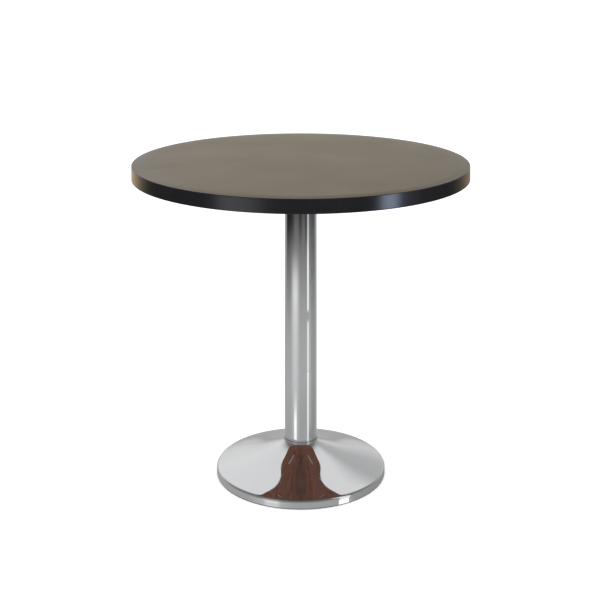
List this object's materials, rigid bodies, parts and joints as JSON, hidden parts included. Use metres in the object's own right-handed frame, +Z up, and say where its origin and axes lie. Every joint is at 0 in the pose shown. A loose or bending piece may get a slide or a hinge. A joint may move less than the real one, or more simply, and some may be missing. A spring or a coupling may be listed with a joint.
{
  "type": "bistro table",
  "caption": "Round pedestal bistro table: dark laminated disc top, chromed tube column and chromed trumpet-shaped base with an upright rim, on screw-adjustable levelling glides.",
  "frame": {"origin": "on the floor, under the column's axis", "axes": "+Z up along the column's axis; the table is round, so -Y is taken as its front"},
  "size_m": [0.7999, 0.8, 0.735],
  "materials": {
    "top_laminate": "satin dark brown-black laminate with a fine pore texture",
    "edge_band": "glossy near-black band",
    "underside_laminate": "satin brown backing sheet",
    "core": "raw fibreboard",
    "chrome": "bright decorative chrome plate",
    "spider_zinc": "light grey powder coat with a fine orange-peel texture",
    "fastener_steel": "zinc-plated steel",
    "spring_steel": "dark oiled spring steel",
    "cast_iron": "black-dipped sand casting",
    "seal_rubber": "matt rubber",
    "floor_ring_grey": "soft grey vinyl",
    "glide_nylon": "moulded black nylon"
  },
  "bodies": {
    "table": {"tabletop_core": "core", "top_laminate": "top_laminate", "underside_laminate": "underside_laminate", "edge_band": "edge_band", "mounting_spider": "spider_zinc", "spider_screws": "fastener_steel", "column_tube": "chrome", "column_end_disc": "fastener_steel", "tie_rod": "fastener_steel", "top_nut": "fastener_steel", "top_washer": "fastener_steel", "bottom_nut": "fastener_steel", "spring_washer": "spring_steel", "bottom_washer": "fastener_steel", "base_weight": "cast_iron", "base_cover": "chrome", "cover_support_ring": "seal_rubber", "floor_ring": "floor_ring_grey"},
    "glide_foot_1": {"glide_pad_1": "glide_nylon"},
    "glide_foot_2": {"glide_pad_2": "glide_nylon"},
    "glide_foot_3": {"glide_pad_3": "glide_nylon"},
    "glide_foot_4": {"glide_pad_4": "glide_nylon"},
    "glide_screw_1": {"glide_stem_1": "fastener_steel"},
    "glide_screw_2": {"glide_stem_2": "fastener_steel"},
    "glide_screw_3": {"glide_stem_3": "fastener_steel"},
    "glide_screw_4": {"glide_stem_4": "fastener_steel"}
  },
  "joints": [
    {"name": "glide_1_travel", "type": "slide", "parent": "table", "child": "glide_foot_1", "axis": [0, 0, -1], "range_m": [-0.00125, 0.005]},
    {"name": "glide_1_turn", "type": "hinge", "parent": "glide_foot_1", "child": "glide_screw_1", "pos_m": [0.1096, 0.1096, 0.01], "axis": [0, 0, -1], "range_deg": [-361, 1441]},
    {"name": "glide_2_travel", "type": "slide", "parent": "table", "child": "glide_foot_2", "axis": [0, 0, -1], "range_m": [-0.00125, 0.005]},
    {"name": "glide_2_turn", "type": "hinge", "parent": "glide_foot_2", "child": "glide_screw_2", "pos_m": [-0.1096, 0.1096, 0.01], "axis": [0, 0, -1], "range_deg": [-361, 1441]},
    {"name": "glide_3_travel", "type": "slide", "parent": "table", "child": "glide_foot_3", "axis": [0, 0, -1], "range_m": [-0.00125, 0.005]},
    {"name": "glide_3_turn", "type": "hinge", "parent": "glide_foot_3", "child": "glide_screw_3", "pos_m": [-0.1096, -0.1096, 0.01], "axis": [0, 0, -1], "range_deg": [-361, 1441]},
    {"name": "glide_4_travel", "type": "slide", "parent": "table", "child": "glide_foot_4", "axis": [0, 0, -1], "range_m": [-0.00125, 0.005]},
    {"name": "glide_4_turn", "type": "hinge", "parent": "glide_foot_4", "child": "glide_screw_4", "pos_m": [0.1096, -0.1096, 0.01], "axis": [0, 0, -1], "range_deg": [-361, 1441]}
  ],
  "couplings": [
    {"joint": "glide_1_turn", "follows": "glide_1_travel", "rad_per_m": 5026.5},
    {"joint": "glide_2_turn", "follows": "glide_2_travel", "rad_per_m": 5026.5},
    {"joint": "glide_3_turn", "follows": "glide_3_travel", "rad_per_m": 5026.5},
    {"joint": "glide_4_turn", "follows": "glide_4_travel", "rad_per_m": 5026.5}
  ]
}
